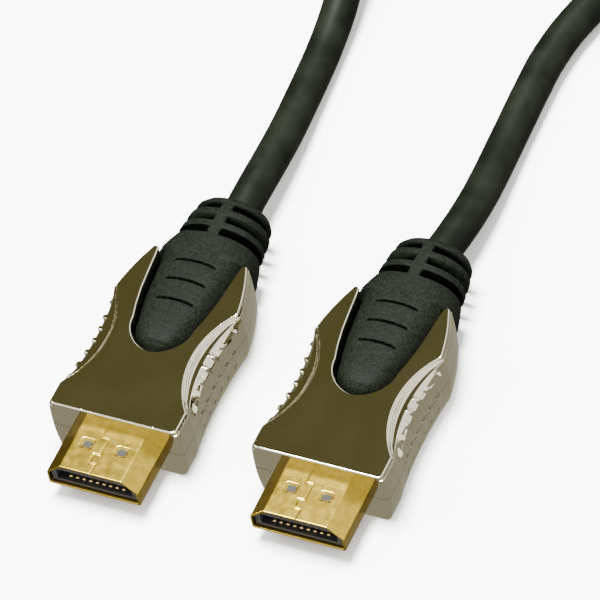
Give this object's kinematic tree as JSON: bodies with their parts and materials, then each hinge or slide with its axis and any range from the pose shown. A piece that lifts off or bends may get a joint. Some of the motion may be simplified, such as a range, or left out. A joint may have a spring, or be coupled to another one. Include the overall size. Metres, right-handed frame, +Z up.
{
  "type": "hdmi cable",
  "caption": "Video cable with a gold-plated plug, chrome finger-grip hood and slotted boot at each end, its spare length wound into a strapped coil.",
  "frame": {"origin": "on the surface the cable lies on, under the middle of the box round the two plugs", "axes": "+Y from the plugs' mouths towards the coil, +Z up, +X to the right when looking into +Y; the plugs' narrower mouth edge is up"},
  "size_m": [0.0796, 0.1834, 0.0118],
  "materials": {
    "shell": "gold-plated, polished, with fine drawing marks",
    "contact": "gold-plated, bright",
    "hood": "bright nickel or chrome plate, polished, faintly warm",
    "insulator": "moulded, semi-matte",
    "boot": "soft black moulding with a fine spark-eroded grain",
    "jacket": "smooth black PVC, satin",
    "strap": "black woven hook-and-loop strap"
  },
  "bodies": {
    "root": {"plug_a_shell": "shell", "plug_a_insulator": "insulator", "plug_a_contact_1": "contact", "plug_a_contact_2": "contact", "plug_a_contact_3": "contact", "plug_a_contact_4": "contact", "plug_a_contact_5": "contact", "plug_a_contact_6": "contact", "plug_a_contact_7": "contact", "plug_a_contact_8": "contact", "plug_a_contact_9": "contact", "plug_a_contact_10": "contact", "plug_a_contact_11": "contact", "plug_a_contact_12": "contact", "plug_a_contact_13": "contact", "plug_a_contact_14": "contact", "plug_a_contact_15": "contact", "plug_a_contact_16": "contact", "plug_a_contact_17": "contact", "plug_a_contact_18": "contact", "plug_a_contact_19": "contact", "plug_a_hood_top": "hood", "plug_a_hood_bottom": "hood", "plug_a_boot": "boot", "plug_b_shell": "shell", "plug_b_insulator": "insulator", "plug_b_contact_1": "contact", "plug_b_contact_2": "contact", "plug_b_contact_3": "contact", "plug_b_contact_4": "contact", "plug_b_contact_5": "contact", "plug_b_contact_6": "contact", "plug_b_contact_7": "contact", "plug_b_contact_8": "contact", "plug_b_contact_9": "contact", "plug_b_contact_10": "contact", "plug_b_contact_11": "contact", "plug_b_contact_12": "contact", "plug_b_contact_13": "contact", "plug_b_contact_14": "contact", "plug_b_contact_15": "contact", "plug_b_contact_16": "contact", "plug_b_contact_17": "contact", "plug_b_contact_18": "contact", "plug_b_contact_19": "contact", "plug_b_hood_top": "hood", "plug_b_hood_bottom": "hood", "plug_b_boot": "boot", "cable_lead_a": "jacket", "cable_lead_b": "jacket", "cable_coil": "jacket", "cable_strap": "strap"}
  },
  "joints": []
}
